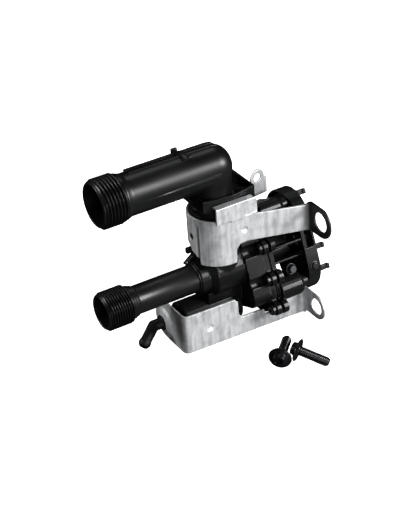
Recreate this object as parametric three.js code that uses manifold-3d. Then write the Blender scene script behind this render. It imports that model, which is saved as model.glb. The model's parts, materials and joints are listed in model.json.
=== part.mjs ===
// Two-pipe diverter valve for a boiler: plastic body, two threaded pipes, spindle set,
// clamped rear housing with an actuator cup, and two galvanised brackets.
// Millimetres, +Z up. The pipes run along Y with their threaded ends at the -Y side.
// The lower bracket stands on z = 0.

import * as THREE from "three";
import { mergeVertices } from "three/addons/utils/BufferGeometryUtils.js";
import Module from "manifold-3d";

const wasm = await Module();
wasm.setup();

// ---------- driving dimensions ----------
const CLEARANCE = 0.3;
const SHEET = 1.5;
const ROUND_SEGMENTS = 28;
const SMALL_SEGMENTS = 12;

const UPPER = { x: 0, z: 123.5, front: 0 };
const LOWER = { x: 0, z: 44.4, front: -2.9 };
const G1 = { radius: 16.62, root: 15.15, pitch: 2.309, turns: 7, mouth: 13.4 };
const G34 = { radius: 13.22, root: 12.06, pitch: 1.814, turns: 10, mouth: 10.0 };
const UPPER_PIPE_RADIUS = 14.2;
const UPPER_BORE = 11.6;
const LOWER_PIPE_RADIUS = 9.7;
const LOWER_BORE = 7.0;
const ELBOW_Y = 84;
const ELBOW_BOTTOM = 84;
const BEND_FULLNESS = 2.4;
// Two flat ribs along the top of the upper pipe, [x0, x1, top], and the clip over them.
const PIPE_RIBS = [[-1.3, 1.1, 138.5], [-7.4, -4.6, 137.3]];
const SADDLE = { front: 62.5, back: 66.7, radius: 15.9 };

const TOWER = { x: 0, y: 86.4, radius: 17.4, waist: 14.6, bore: 12.0, bottom: 50, top: 98.4 };
const STRAP_RADIUS = 19.3;
// The upright crease in the strap, turned from the front towards the near side.
const CREASE_TURN = THREE.MathUtils.degToRad(19);
const CAP = { left: -17.5, right: 13.6, bulge: 3.2, front: 69.6, back: 109, bottom: 98.7, top: 107.5 };

const TILT = THREE.MathUtils.degToRad(-21);
const CHAMBER_RADIUS = 15.6;
const CHAMBER_BORE = 12.4;
const BODY_FLANGE = { front: 111.4, back: 114.8 };
const GASKET = { front: 115.1, back: 115.9 };
const REAR_FLANGE = { front: 116.2, back: 119.8 };
const CUP = { front: 142, back: 152, halfWidth: 20.4, halfLength: 36.2, lift: 1.8, wall: 2 };
const SOCKET_FRONT = 67.2;
const SOCKET_DEPTH = 6.4;

const EAR_PLANE = 141;
const ARM_END = 29.4;
const NEAR_EAR = { x: 42, z: 81.2, radius: 11.4, hole: 6.9 };
const FAR_LUG = { y: 136.9, z: 84.5, radius: 6.2, hole: 3.2, armEnd: 145.4 };
const LOW_EAR = { x: 35.3, z: 11.4, radius: 9.4, hole: 5.9 };
const NOZZLE = { x: -9, z: 12.3, bend: 39, swivel: 46 };
const KNEE_Y = 38.4;
const LOW_CHAMBER = { x: 0.5, z: 16, radius: 12.8, front: 54, back: 96 };

// Screw places in the tilted flange: w to the near side, v upwards.
const FRONT_SCREWS = [[18.8, 8.2], [20, -14], [17.2, -35.4], [-17.8, 4], [-17.8, -21]];
const REAR_SCREW = [0, 32];
const LUG_RADIUS = 4.8;
const SCREW = { shank: 2.0, head: 3.7, headHeight: 2.8 };

const PUSH = { x: LOWER.x, z: LOWER.z };
const FAR_PORT = { y: 100, z: 40 };
const FRONT_SEAT = { front: 75.4, back: 77.8 };
const REAR_SEAT = { front: 98.8, back: 101.2 };
const DISCS = [83.9, 95.2];
const DISC = { radius: 10.6, thickness: 3.2 };
const SPINDLE_RADIUS = 2.5;
const SPRING = { front: 122, back: 134.6, turns: 4.5, radius: 5.6, wire: 0.6 };

// Rear cage in the tilted frame: columns are [w, v, radius], ribs are [w0, w1, v].
const COLUMNS = [[9.5, 29.5, 6.4], [12.6, -25, 8], [-11.5, -25, 6.5], [-9, 28, 5.5]];
const COLUMN_END = 137.6;
const SLEEVE_END = 137.4;
const COLUMN_NECK = 4.4;
const RIBS = [[14, 20, 4.6], [9, 15, -6.7], [-19, -13, 4.6], [-15, -9, -6.7]];
const PLUG = { y: 130, v: -13, w0: 14, w1: 21.4 };
// Catches on the cup's back: [w, v, reach].
const CATCHES = [[9.5, 33, 6.5], [17.6, -4.6, 6.5], [15.8, -20.4, 8], [-15.6, 14, 6.5]];

// Loose mounting screws: centre of the head, heading about Z and droop, in degrees.
const SCREW_A = { head: [65.2, 105.0, 7.75], heading: -57, droop: 11.5 };
const SCREW_B = { head: [65.8, 90.6, 7.85], heading: 44, droop: 0 };

// ---------- solids ----------
function solid(geometry) {
  const bare = new THREE.BufferGeometry();
  bare.setAttribute("position", geometry.getAttribute("position"));
  if (geometry.index) bare.setIndex(geometry.index);
  const merged = mergeVertices(bare, 1e-4);
  const places = merged.getAttribute("position").array;
  const kept = [];
  const source = merged.index.array;
  for (let i = 0; i < source.length; i += 3) {
    const [a, b, c] = [source[i], source[i + 1], source[i + 2]];
    if (a !== b && b !== c && a !== c) kept.push(a, b, c);
  }
  if (signedVolume(places, kept) < 0) {
    for (let i = 0; i < kept.length; i += 3) [kept[i + 1], kept[i + 2]] = [kept[i + 2], kept[i + 1]];
  }
  const mesh = new wasm.Mesh({
    numProp: 3,
    vertProperties: new Float32Array(places),
    triVerts: new Uint32Array(kept),
  });
  mesh.merge();
  return new wasm.Manifold(mesh);
}

function signedVolume(places, index) {
  const a = new THREE.Vector3();
  const b = new THREE.Vector3();
  const c = new THREE.Vector3();
  let total = 0;
  for (let i = 0; i < index.length; i += 3) {
    a.fromArray(places, index[i] * 3);
    b.fromArray(places, index[i + 1] * 3);
    c.fromArray(places, index[i + 2] * 3);
    total += a.dot(b.cross(c));
  }
  return total / 6;
}

function union(...parts) {
  return parts.reduce((whole, part) => whole.add(part));
}

function cut(whole, ...parts) {
  return parts.reduce((rest, part) => rest.subtract(part), whole);
}

// A turned piece about a line along Y. Profile rows are [radius, y].
function turnedY(profile, x, z, segments = ROUND_SEGMENTS) {
  const points = profile.map(([radius, y]) => new THREE.Vector2(radius, y));
  const geometry = new THREE.LatheGeometry(points, segments);
  geometry.translate(x, 0, z);
  return solid(geometry);
}

function turnedZ(profile, x, y, segments = ROUND_SEGMENTS) {
  const points = profile.map(([radius, z]) => new THREE.Vector2(radius, z));
  const geometry = new THREE.LatheGeometry(points, segments);
  geometry.rotateX(Math.PI / 2);
  geometry.translate(x, y, 0);
  return solid(geometry);
}

function rodY(radius, front, back, x, z, segments = ROUND_SEGMENTS) {
  return turnedY([[0, front], [radius, front], [radius, back], [0, back]], x, z, segments);
}

function rodZ(radius, bottom, top, x, y, segments = ROUND_SEGMENTS) {
  return turnedZ([[0, bottom], [radius, bottom], [radius, top], [0, top]], x, y, segments);
}

function rodX(radius, x0, x1, y, z, segments = 24) {
  const geometry = new THREE.CylinderGeometry(radius, radius, x1 - x0, segments);
  geometry.rotateZ(Math.PI / 2);
  geometry.translate((x0 + x1) / 2, y, z);
  return solid(geometry);
}

function ringY(outer, inner, front, back, x, z, segments = ROUND_SEGMENTS) {
  const profile = [[inner, front], [outer, front], [outer, back], [inner, back], [inner, front]];
  return turnedY(profile, x, z, segments);
}

function block(x0, x1, y0, y1, z0, z1) {
  const geometry = new THREE.BoxGeometry(x1 - x0, y1 - y0, z1 - z0);
  geometry.translate((x0 + x1) / 2, (y0 + y1) / 2, (z0 + z1) / 2);
  return solid(geometry);
}

function prismZ(shape, bottom, top, curve = 6) {
  const geometry = new THREE.ExtrudeGeometry(shape, {
    depth: top - bottom, bevelEnabled: false, curveSegments: curve,
  });
  geometry.translate(0, 0, bottom);
  return solid(geometry);
}

// Shape axes are world X and Z.
function prismY(shape, front, back, curve = 6) {
  const geometry = new THREE.ExtrudeGeometry(shape, {
    depth: back - front, bevelEnabled: false, curveSegments: curve,
  });
  geometry.rotateX(Math.PI / 2);
  geometry.translate(0, back, 0);
  return solid(geometry);
}

// Shape axes are world Y and Z.
function prismX(shape, x0, x1, curve = 6) {
  const geometry = new THREE.ExtrudeGeometry(shape, {
    depth: x1 - x0, bevelEnabled: false, curveSegments: curve,
  });
  const turn = new THREE.Matrix4().set(0, 0, 1, x0, 1, 0, 0, 0, 0, 1, 0, 0, 0, 0, 0, 1);
  geometry.applyMatrix4(turn);
  return solid(geometry);
}

function polygon(points) {
  return new THREE.Shape(points.map(([x, y]) => new THREE.Vector2(x, y)));
}

function ringXY(outer, inner, bottom, top, x, y) {
  const profile = [[inner, bottom], [outer, bottom], [outer, top], [inner, top], [inner, bottom]];
  return turnedZ(profile, x, y);
}

function roundedRect(x0, x1, y0, y1, radius) {
  const shape = new THREE.Shape();
  shape.moveTo(x0 + radius, y0);
  shape.lineTo(x1 - radius, y0);
  shape.absarc(x1 - radius, y0 + radius, radius, -Math.PI / 2, 0, false);
  shape.lineTo(x1, y1 - radius);
  shape.absarc(x1 - radius, y1 - radius, radius, 0, Math.PI / 2, false);
  shape.lineTo(x0 + radius, y1);
  shape.absarc(x0 + radius, y1 - radius, radius, Math.PI / 2, Math.PI, false);
  shape.lineTo(x0, y0 + radius);
  shape.absarc(x0 + radius, y0 + radius, radius, Math.PI, 1.5 * Math.PI, false);
  return shape;
}

// Turns a solid made about the chamber line (w = x, v = z) into the tilted flange frame.
function tilted(part) {
  const degrees = THREE.MathUtils.radToDeg(TILT);
  return part.rotate([0, degrees, 0]).translate([PUSH.x, 0, PUSH.z]);
}

// ---------- sheet ribbons: a plan polyline with rounded bends and a thickness ----------
function roundedPath(corners, radius, steps = 6) {
  const path = [corners[0]];
  for (let i = 1; i < corners.length - 1; i += 1) {
    const before = new THREE.Vector2(...corners[i - 1]);
    const here = new THREE.Vector2(...corners[i]);
    const after = new THREE.Vector2(...corners[i + 1]);
    const inward = before.clone().sub(here).normalize();
    const outward = after.clone().sub(here).normalize();
    const half = Math.acos(THREE.MathUtils.clamp(inward.dot(outward), -1, 1)) / 2;
    const back = radius / Math.tan(half);
    const start = here.clone().addScaledVector(inward, back);
    const end = here.clone().addScaledVector(outward, back);
    for (let k = 0; k <= steps; k += 1) {
      const t = k / steps;
      const a = start.clone().lerp(here, t);
      const b = here.clone().lerp(end, t);
      const point = a.lerp(b, t);
      path.push([point.x, point.y]);
    }
  }
  path.push(corners[corners.length - 1]);
  return path;
}

function ribbon(path, thickness) {
  const left = [];
  const right = [];
  for (let i = 0; i < path.length; i += 1) {
    const before = path[Math.max(i - 1, 0)];
    const after = path[Math.min(i + 1, path.length - 1)];
    const along = new THREE.Vector2(after[0] - before[0], after[1] - before[1]).normalize();
    left.push([path[i][0] - (along.y * thickness) / 2, path[i][1] + (along.x * thickness) / 2]);
    right.push([path[i][0] + (along.y * thickness) / 2, path[i][1] - (along.x * thickness) / 2]);
  }
  return polygon([...right, ...left.reverse()]);
}

// ---------- threaded ends ----------
function threadProfile(thread, front) {
  const rows = [];
  for (let turn = 0; turn < thread.turns; turn += 1) {
    const start = front + 0.9 + turn * thread.pitch;
    rows.push([thread.root, start]);
    rows.push([thread.radius, start + thread.pitch * 0.5]);
  }
  const end = front + 0.9 + thread.turns * thread.pitch;
  rows.push([thread.root, end]);
  return rows;
}

// The outer corner of the elbow, a little fuller than a ball.
function bendRows(radius) {
  const rows = [[0, ELBOW_Y - 1], [radius, ELBOW_Y - 1]];
  const steps = 12;
  for (let k = 0; k < steps; k += 1) {
    const t = Math.sin((k / steps) * (Math.PI / 2));
    rows.push([radius * (1 - t ** BEND_FULLNESS) ** (1 / BEND_FULLNESS), ELBOW_Y + radius * t]);
  }
  rows.push([0, ELBOW_Y + radius]);
  return rows;
}

// Side view of a rib: straight along the pipe, then eased down over the elbow.
function ribShape(top) {
  return polygon([
    [26, 130], [ELBOW_Y + 8.4, 130], [ELBOW_Y + 8.4, top - 3], [ELBOW_Y + 5.6, top - 0.7],
    [ELBOW_Y + 1, top], [26, top],
  ]);
}

function upperElbowPipe() {
  const front = UPPER.front;
  const threadEnd = front + 0.9 + G1.turns * G1.pitch;
  const outside = [
    [0, front], [G1.root - 0.3, front], ...threadProfile(G1, front),
    [G1.root, threadEnd + 1.4], [UPPER_PIPE_RADIUS + 0.5, threadEnd + 3.4],
    [UPPER_PIPE_RADIUS, threadEnd + 5], [UPPER_PIPE_RADIUS, ELBOW_Y], [0, ELBOW_Y],
  ];
  const inside = [
    [0, front - 1], [G1.mouth, front - 1], [G1.mouth, front + 17],
    [UPPER_BORE, front + 20], [UPPER_BORE, ELBOW_Y], [0, ELBOW_Y],
  ];
  const bend = turnedY(bendRows(UPPER_PIPE_RADIUS), UPPER.x, UPPER.z);
  const bendBore = solid(new THREE.SphereGeometry(UPPER_BORE, 24, 12))
    .translate([UPPER.x, ELBOW_Y, UPPER.z]);
  const spigotRadius = TOWER.bore - CLEARANCE;
  const leg = turnedZ([
    [0, ELBOW_BOTTOM], [spigotRadius, ELBOW_BOTTOM], [spigotRadius, 86],
    [spigotRadius - 1.8, 86], [spigotRadius - 1.8, 88.6], [spigotRadius, 88.6],
    [spigotRadius, 102.2], [UPPER_PIPE_RADIUS - 1.2, 102.2], [UPPER_PIPE_RADIUS - 1.2, 104],
    [UPPER_PIPE_RADIUS, 105], [UPPER_PIPE_RADIUS, UPPER.z], [0, UPPER.z],
  ], UPPER.x, ELBOW_Y);
  const legBore = rodZ(9.6, ELBOW_BOTTOM - 1, UPPER.z, UPPER.x, ELBOW_Y);
  const ribs = PIPE_RIBS.map(([x0, x1, top]) => prismX(ribShape(top), x0, x1));
  const wedge = prismY(
    polygon([[0, UPPER.z], [8.1, UPPER.z + 20], [-4, UPPER.z + 26], [-15.6, UPPER.z + 20]]),
    SADDLE.front, SADDLE.back,
  );
  const saddle = union(
    ringY(SADDLE.radius, UPPER_PIPE_RADIUS - 1, SADDLE.front, SADDLE.back, UPPER.x, UPPER.z).intersect(wedge),
    block(-11.4, -9.2, SADDLE.front, SADDLE.back, 133, 138.4),
    block(4.0, 6.0, SADDLE.front + 0.6, SADDLE.back + 2.6, 135, 138.4),
  );
  const ringRib = ringY(UPPER_PIPE_RADIUS + 0.55, UPPER_PIPE_RADIUS - 1, 24.6, 25.8, UPPER.x, UPPER.z);
  const outer = union(turnedY(outside, UPPER.x, UPPER.z), bend, leg, ...ribs, saddle, ringRib);
  return cut(outer, turnedY(inside, UPPER.x, UPPER.z), bendBore, legBore);
}

function lowerPipe() {
  const front = LOWER.front;
  const threadEnd = front + 0.9 + G34.turns * G34.pitch;
  const end = SOCKET_FRONT + SOCKET_DEPTH - 0.5;
  const groove = SOCKET_FRONT + 1.8;
  const spigot = LOWER_PIPE_RADIUS - 0.6;
  const outside = [
    [0, front], [G34.root - 0.3, front], ...threadProfile(G34, front),
    [11.2, threadEnd + 1.2], [11.2, threadEnd + 2.4], [10.5, threadEnd + 2.8],
    [10.5, threadEnd + 4.6], [LOWER_PIPE_RADIUS, threadEnd + 5.4],
    [LOWER_PIPE_RADIUS, SOCKET_FRONT - 1.2], [11.0, SOCKET_FRONT - 1.2],
    [11.0, SOCKET_FRONT - CLEARANCE], [spigot, SOCKET_FRONT - CLEARANCE],
    [spigot, groove], [spigot - 1.8, groove], [spigot - 1.8, groove + 2.2],
    [spigot, groove + 2.2], [spigot, end], [0, end],
  ];
  const inside = [
    [0, front - 1], [G34.mouth, front - 1], [G34.mouth, front + 18],
    [LOWER_BORE - 0.6, front + 22], [LOWER_BORE - 0.6, end + 1], [0, end + 1],
  ];
  return cut(turnedY(outside, LOWER.x, LOWER.z), turnedY(inside, LOWER.x, LOWER.z));
}

function oRingY(major, minor, x, y, z) {
  const rows = [];
  for (let k = 0; k <= 6; k += 1) {
    const angle = (k / 6) * 2 * Math.PI;
    rows.push([major + minor * Math.cos(angle), y + minor * Math.sin(angle)]);
  }
  rows[6] = rows[0];
  return turnedY(rows, x, z, 20);
}

function oRingZ(major, minor, x, y, z) {
  const rows = [];
  for (let k = 0; k <= 6; k += 1) {
    const angle = (k / 6) * 2 * Math.PI;
    rows.push([major + minor * Math.cos(angle), z + minor * Math.sin(angle)]);
  }
  rows[6] = rows[0];
  return turnedZ(rows, x, y, 20);
}

// ---------- cap over the elbow joint ----------
function capShape(inset) {
  const { left, right, bulge, front, back } = CAP;
  const points = [
    [left + inset, back - inset], [left + inset, front + inset], [right - inset, front + inset],
  ];
  for (let k = 1; k < 10; k += 1) {
    const t = k / 10;
    const across = right - inset + bulge * Math.sin(Math.PI * t);
    points.push([across, front + inset + (back - front - 2 * inset) * t]);
  }
  points.push([right - inset, back - inset]);
  return polygon(points);
}

function capPlate() {
  const plate = prismZ(capShape(0), CAP.bottom, CAP.top);
  const recess = prismZ(capShape(1.8), CAP.bottom + 3, CAP.top + 1);
  const hole = rodZ(UPPER_PIPE_RADIUS + CLEARANCE, CAP.bottom + 3, CAP.top + 1, UPPER.x, ELBOW_Y);
  const lower = rodZ(TOWER.bore + 0.1, CAP.bottom - 1, CAP.top, UPPER.x, ELBOW_Y);
  const bolt = rodZ(3.4, CAP.bottom + 2.5, CAP.bottom + 5.4, 7.4, 102.6, SMALL_SEGMENTS);
  const gusset = block(10.4, 12.6, 99.2, 100.6, CAP.bottom + 2.5, CAP.top - 0.6);
  const slot = block(CAP.right + 1.4, CAP.right + 9, 75, 105.9, 100.9, 104.2);
  return cut(union(cut(plate, recess), bolt, gusset), hole, lower, slot);
}

function elbowClip() {
  const radius = UPPER_PIPE_RADIUS - 0.9;
  const ring = ringXY(radius + 1.1, radius, 102.5, 103.7, UPPER.x, ELBOW_Y);
  const gap = block(-9, 9, ELBOW_Y - 20, ELBOW_Y - 4, 101, 105);
  return cut(ring, gap);
}

// ---------- valve body ----------
function flangeOutline(grow) {
  const half = 17.8 + grow;
  const top = 13 + grow;
  const shape = new THREE.Shape();
  shape.moveTo(half, -22);
  shape.lineTo(half, 6);
  shape.quadraticCurveTo(half, 14, top, 20);
  shape.absarc(0, 22, top, 0, Math.PI, false);
  shape.lineTo(-top, 20);
  shape.quadraticCurveTo(-half, 14, -half, 6);
  shape.lineTo(-half, -22);
  shape.absarc(0, -22, half, Math.PI, 2 * Math.PI, false);
  return shape;
}

function lugs(front, back) {
  const parts = FRONT_SCREWS.map(([w, v]) => {
    const lug = rodY(LUG_RADIUS, front, back, w, v, SMALL_SEGMENTS);
    const inner = Math.sign(w) * 10;
    const tie = v < -30 ? v + 11 : v;
    const outline = polygon([[w, v + 4], [inner, tie + 6], [inner, tie - 6], [w, v - 4]]);
    const neck = prismY(outline, front, back);
    return union(lug, neck);
  });
  return union(...parts);
}

function screwBores(front, back, radius) {
  return FRONT_SCREWS.map(([w, v]) => tilted(rodY(radius, front, back, w, v, SMALL_SEGMENTS)));
}

function valveBody() {
  const flange = tilted(union(
    prismY(flangeOutline(0), BODY_FLANGE.front, BODY_FLANGE.back),
    lugs(BODY_FLANGE.front - 0.6, BODY_FLANGE.back),
  ));
  const casing = tilted(prismY(roundedRect(-15.4, 17.2, -31.5, 22.5, 8), 98.4, BODY_FLANGE.front + 0.5));
  const chamber = turnedY([
    [0, SOCKET_FRONT], [11.6, SOCKET_FRONT], [11.6, 73.5], [CHAMBER_RADIUS, 78],
    [CHAMBER_RADIUS, 112], [0, 112],
  ], PUSH.x, PUSH.z);
  const tower = turnedZ([
    [0, TOWER.bottom], [TOWER.waist, TOWER.bottom], [TOWER.waist, 66],
    [TOWER.radius, 70], [TOWER.radius, TOWER.top - 1],
    [TOWER.radius - 0.6, TOWER.top], [0, TOWER.top],
  ], TOWER.x, TOWER.y);
  const skirt = rodZ(TOWER.waist, 44, TOWER.bottom + 1, TOWER.x, TOWER.y);
  const web = prismX(polygon([
    [63.3, 52.9], [72.2, 60], [77, 60], [77, 48], [67.5, 48], [67.5, 54.4], [65.6, 54.4], [65.4, 52.9],
  ]), -8.5, -5.5);
  const low = rodY(LOW_CHAMBER.radius, LOW_CHAMBER.front, LOW_CHAMBER.back, LOW_CHAMBER.x, LOW_CHAMBER.z);
  const spout = rodY(7.6, 51, 66, NOZZLE.x, NOZZLE.z, 20);
  const bridge = block(-9, 9, 72, 104, 20, 34);
  const farPort = rodX(11.4, -27, 0, FAR_PORT.y, FAR_PORT.z);
  const hook = block(-9.2, -6.2, 66.6, 77, 59.8, 63.8);
  const outside = union(flange, casing, chamber, tower, skirt, web, low, spout, bridge, farPort, hook);

  const pipeSocket = rodY(LOWER_PIPE_RADIUS - 0.6 + CLEARANCE, SOCKET_FRONT - 1,
    SOCKET_FRONT + SOCKET_DEPTH, PUSH.x, PUSH.z);
  const throat = rodY(7.6, SOCKET_FRONT, 76, PUSH.x, PUSH.z);
  const bore = rodY(CHAMBER_BORE, FRONT_SEAT.front - CLEARANCE, BODY_FLANGE.back + 1, PUSH.x, PUSH.z);
  const towerBore = rodZ(TOWER.bore, 46, TOWER.top + 1, UPPER.x, ELBOW_Y);
  const farBore = rodX(8.4, -28, 0, FAR_PORT.y, FAR_PORT.z);
  const lowBore = rodY(9.4, 68, LOW_CHAMBER.back - 3, LOW_CHAMBER.x, LOW_CHAMBER.z);
  const spoutBore = rodY(4.6, 50, 70, NOZZLE.x, NOZZLE.z, 20);
  const bypass = rodZ(3.4, LOW_CHAMBER.z, PUSH.z, LOW_CHAMBER.x, 88, 20);
  const heads = screwBores(90, BODY_FLANGE.front - 0.6, LUG_RADIUS - 0.2);
  const holes = screwBores(BODY_FLANGE.front - 2, BODY_FLANGE.back + 1, SCREW.shank + CLEARANCE);
  const rearHole = tilted(rodY(SCREW.shank + CLEARANCE, 110.4, 116, ...REAR_SCREW, SMALL_SEGMENTS));
  return cut(outside, pipeSocket, throat, bore, towerBore, farBore, lowBore, spoutBore,
    bypass, ...heads, ...holes, rearHole);
}

// ---------- rear housing, gasket, cup ----------
function flangeGasket() {
  const sheet = tilted(prismY(flangeOutline(-1), GASKET.front, GASKET.back));
  const bore = rodY(CHAMBER_BORE, GASKET.front - 1, GASKET.back + 1, PUSH.x, PUSH.z);
  const holes = screwBores(GASKET.front - 1, GASKET.back + 1, SCREW.shank + 0.6);
  const rearHole = tilted(rodY(SCREW.shank + 0.6, 114, 117, ...REAR_SCREW, SMALL_SEGMENTS));
  return cut(sheet, bore, ...holes, rearHole);
}

function rearHousing() {
  const flange = union(
    prismY(flangeOutline(0), REAR_FLANGE.front, REAR_FLANGE.back),
    lugs(REAR_FLANGE.front, REAR_FLANGE.back + 0.6),
  );
  const plateFront = CUP.front + 2;
  const plateBack = CUP.front + 4.2;
  const columns = COLUMNS.map(([w, v, radius]) => turnedY([
    [0, REAR_FLANGE.back - 1], [radius, REAR_FLANGE.back - 1], [radius, COLUMN_END - 3],
    [radius - 0.9, COLUMN_END - 0.9], [COLUMN_NECK, COLUMN_END], [COLUMN_NECK, plateFront + 0.4],
    [0, plateFront + 0.4],
  ], w, v, 20));
  const ribs = RIBS.map(([w0, w1, v]) => (
    block(w0, w1, REAR_FLANGE.back - 1, plateFront + 0.4, v - 0.8, v + 0.8)
  ));
  const sleeve = rodY(8.6, REAR_FLANGE.back - 1, SLEEVE_END, 0, 0);
  const inset = CUP.wall + CLEARANCE;
  const plateShape = stadium(CUP.halfWidth - inset, CUP.halfLength - inset, CUP.lift);
  const plate = prismY(plateShape, plateFront, plateBack);
  const inside = prismY(plateShape, CUP.front - 1, plateBack + 1);
  const around = cut(block(-60, 60, CUP.front - 0.4, plateBack + 1, -60, 60), inside);
  const whole = tilted(cut(union(flange, ...columns, ...ribs, sleeve, plate), around));
  const gland = rodY(4.4, 116.7, 130, PUSH.x, PUSH.z, 20);
  const springWay = rodY(7.4, SPRING.front - 0.3, 140, PUSH.x, PUSH.z, 24);
  const pushWay = rodY(9, 138, 150, PUSH.x, PUSH.z, 20);
  const sealPit = rodY(4.9, 114, 118.2, PUSH.x, PUSH.z, 20);
  const holes = screwBores(REAR_FLANGE.front - 1, REAR_FLANGE.back + 1, SCREW.shank + CLEARANCE);
  const rearHole = tilted(rodY(SCREW.shank + CLEARANCE, 114, 124, ...REAR_SCREW, SMALL_SEGMENTS));
  const rearHead = tilted(rodY(SCREW.head + 0.5, REAR_FLANGE.back, 141, ...REAR_SCREW, SMALL_SEGMENTS));
  const plugHole = tilted(plugRod(2.7));
  const boss = tilted(rodX(4.2, 12, 18.4, PLUG.y, PLUG.v, SMALL_SEGMENTS));
  return cut(union(whole, boss), gland, springWay, pushWay, sealPit,
    ...holes, rearHole, rearHead, plugHole);
}

function stadium(halfWidth, halfLength, lift) {
  const centre = halfLength - halfWidth;
  const shape = new THREE.Shape();
  shape.absarc(0, lift + centre, halfWidth, 0, Math.PI, false);
  shape.absarc(0, lift - centre, halfWidth, Math.PI, 2 * Math.PI, false);
  return shape;
}

function actuatorCup() {
  const outer = prismY(stadium(CUP.halfWidth, CUP.halfLength, CUP.lift), CUP.front, CUP.back, 10);
  const room = stadium(CUP.halfWidth - CUP.wall, CUP.halfLength - CUP.wall, CUP.lift);
  const inner = prismY(room, CUP.front - 1, CUP.back - 2.4, 10);
  const window = block(16, 24, CUP.front + 1.6, CUP.back - 1.8, -2.6, 13);
  const shaft = rodY(5.4, CUP.back - 4, CUP.back + 2, 0, 0, 20);
  const catches = CATCHES.map(([w, v, reach]) => union(
    block(w - 1.2, w + 1.2, CUP.back - 1, CUP.back + reach, v - 1.8, v + 1.8),
    block(w - 1.2, w + 2.0, CUP.back + reach - 2.2, CUP.back + reach, v - 1.8, v + 1.8),
  ));
  const bump = rodX(2.6, 18.6, 21.4, CUP.back - 4.4, -16.5, SMALL_SEGMENTS);
  return tilted(union(cut(outer, inner, window, shaft), ...catches, bump));
}

function plugRod(radius) {
  return rodX(radius, PLUG.w0, PLUG.w1, PLUG.y, PLUG.v, SMALL_SEGMENTS);
}

// ---------- brackets ----------
function upperBracket() {
  const mid = STRAP_RADIUS - SHEET / 2;
  const cx = TOWER.x;
  const cy = TOWER.y;
  const arc = [];
  for (let k = 0; k <= 24; k += 1) {
    const angle = Math.PI + (k / 24) * Math.PI;
    arc.push([cx + mid * Math.cos(angle), cy + mid * Math.sin(angle)]);
  }
  const path = [
    [-ARM_END - 0.9, FAR_LUG.armEnd], [cx - mid, cy + 2],
    ...arc,
    ...roundedPath([[cx + mid, cy + 2], [ARM_END, EAR_PLANE], [NEAR_EAR.x + NEAR_EAR.radius, EAR_PLANE]], 3),
  ];
  const wall = prismZ(ribbon(path, SHEET), 50, 110);
  const nearSide = polygon([
    [60, 58], [89.6, 58], [90, 68], [92.4, 71.8], [97, 72.8], [138, 70.4], [170, 60],
    [170, 110], [138, 89.6], [104, 92], [60, 92.3],
  ]);
  const farSide = polygon([
    [60, 69.5], [92, 69.5], [97, 72.8], [150, 70], [150, 83.2], [138, 84], [131, 83], [127, 81],
    [104, 82.4], [98, 92], [60, 92.3],
  ]);
  const front = polygon([
    [-30, 69.5], [-9.4, 69.5], [-3.4, 68.9], [0, 65.8], [3.4, 64.6], [6.2, 61.6], [7.4, 58],
    [16, 58], [16, 92.3], [-30, 92.3],
  ]);
  const frontKeep = prismY(front, 60, 90);
  const nearKeep = prismX(nearSide, 10, 80);
  const farKeep = union(
    prismX(farSide, -60, -10),
    rodX(FAR_LUG.radius, -60, -10, FAR_LUG.y, FAR_LUG.z),
  );
  let sheet = wall.intersect(union(frontKeep, nearKeep, farKeep));
  sheet = trimEar(sheet, NEAR_EAR, ARM_END + 1.6, 75);
  sheet = cut(sheet, rodX(FAR_LUG.hole, -60, -10, FAR_LUG.y, FAR_LUG.z, SMALL_SEGMENTS));
  const tabFace = block(19.4, 20.9, 75, 106, 91.5, 103.2);
  const tabTop = block(15.4, 20.9, 75.3, 104.6, 101.7, 103.2);
  const tabCorner = cut(block(15, 21.5, 103, 106.4, 100, 104), rodX(3.2, 14, 22, 102.8, 100, 20));
  const joggle = block(18.4, 20.9, 86, 100, 90.6, 92.6);
  const frontHole = rodY(2.6, 60, 74, -0.7, 76.6, SMALL_SEGMENTS);
  sheet = union(sheet, cut(union(tabFace, tabTop), tabCorner), joggle);
  const creaseAt = STRAP_RADIUS + 1.25;
  const creaseX = cx + creaseAt * Math.sin(CREASE_TURN);
  const creaseY = cy - creaseAt * Math.cos(CREASE_TURN);
  const crease = rodZ(2.1, 57, 86.5, creaseX, creaseY, 20);
  return cut(sheet, frontHole, crease, dimple(20.6, 94.6, 81.8, 2.9));
}

// A shallow round pressing in the outer face of a near side sheet.
function dimple(x, y, z, radius) {
  const ball = new THREE.SphereGeometry(radius * 1.9, SMALL_SEGMENTS, 12);
  ball.translate(x + radius * 1.66, y, z);
  return solid(ball);
}

// Rounds the free end of an ear and drills it. The ear lies between x0 and x1.
function trimEar(sheet, ear, x0, x1) {
  const zone = block(x0, x1, EAR_PLANE - 4, EAR_PLANE + 5, -20, 140);
  const disc = rodY(ear.radius, EAR_PLANE - 5, EAR_PLANE + 6, ear.x, ear.z);
  const inner = Math.abs(x0) < Math.abs(x1) ? x0 - 1 : x1 + 1;
  const neck = block(Math.min(inner, ear.x), Math.max(inner, ear.x), EAR_PLANE - 5, EAR_PLANE + 6,
    ear.z - ear.radius, ear.z + ear.radius);
  const kept = sheet.intersect(zone).intersect(union(disc, neck));
  const hole = rodY(ear.hole, EAR_PLANE - 6, EAR_PLANE + 7, ear.x, ear.z);
  return cut(union(cut(sheet, zone), kept), hole);
}

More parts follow.
